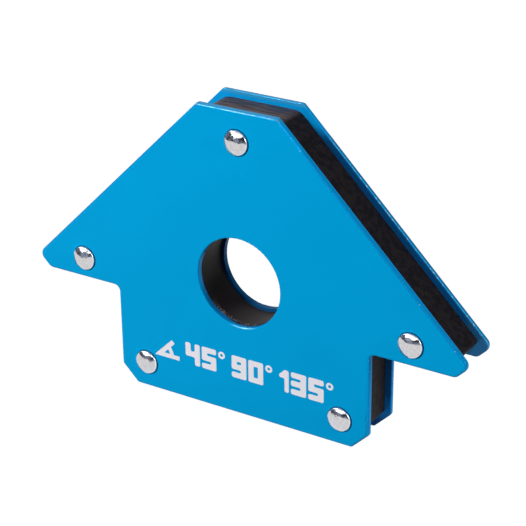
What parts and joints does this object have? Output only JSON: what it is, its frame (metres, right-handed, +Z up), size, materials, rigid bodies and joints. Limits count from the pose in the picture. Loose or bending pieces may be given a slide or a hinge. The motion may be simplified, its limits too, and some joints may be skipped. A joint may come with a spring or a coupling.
{
  "type": "welding magnet holder",
  "caption": "Arrow-shaped magnetic angle block: painted pole plates riveted over a black core, holding steel at 45, 90 and 135 degrees for welding.",
  "frame": {"origin": "on the resting edge, midway in width and thickness", "axes": "+X along the foot to the right wing, +Y through the thickness from the front plate to the rear plate, +Z up to the apex"},
  "size_m": [0.1506, 0.0206, 0.1],
  "materials": {
    "plate_paint": "satin gloss, fine orange peel",
    "core_plastic": "matte, moulded",
    "liner_plastic": "semi-gloss, moulded",
    "ferrite": "ground, matte",
    "rivet_plating": "bright nickel",
    "sleeve_steel": "turned, bright",
    "marking_ink": "printed ink, satin"
  },
  "bodies": {
    "root": {"front_plate": "plate_paint", "rear_plate": "plate_paint", "core_frame": "core_plastic", "bore_liner": "liner_plastic", "magnet_wing_left": "ferrite", "magnet_wing_right": "ferrite", "magnet_apex_left": "ferrite", "magnet_apex_right": "ferrite", "magnet_foot_left": "ferrite", "magnet_foot_right": "ferrite", "rivet_apex": "rivet_plating", "rivet_wing_left": "rivet_plating", "rivet_wing_right": "rivet_plating", "rivet_foot_left": "rivet_plating", "rivet_foot_right": "rivet_plating", "sleeve_apex": "sleeve_steel", "sleeve_wing_left": "sleeve_steel", "sleeve_wing_right": "sleeve_steel", "sleeve_foot_left": "sleeve_steel", "sleeve_foot_right": "sleeve_steel"}
  },
  "joints": []
}
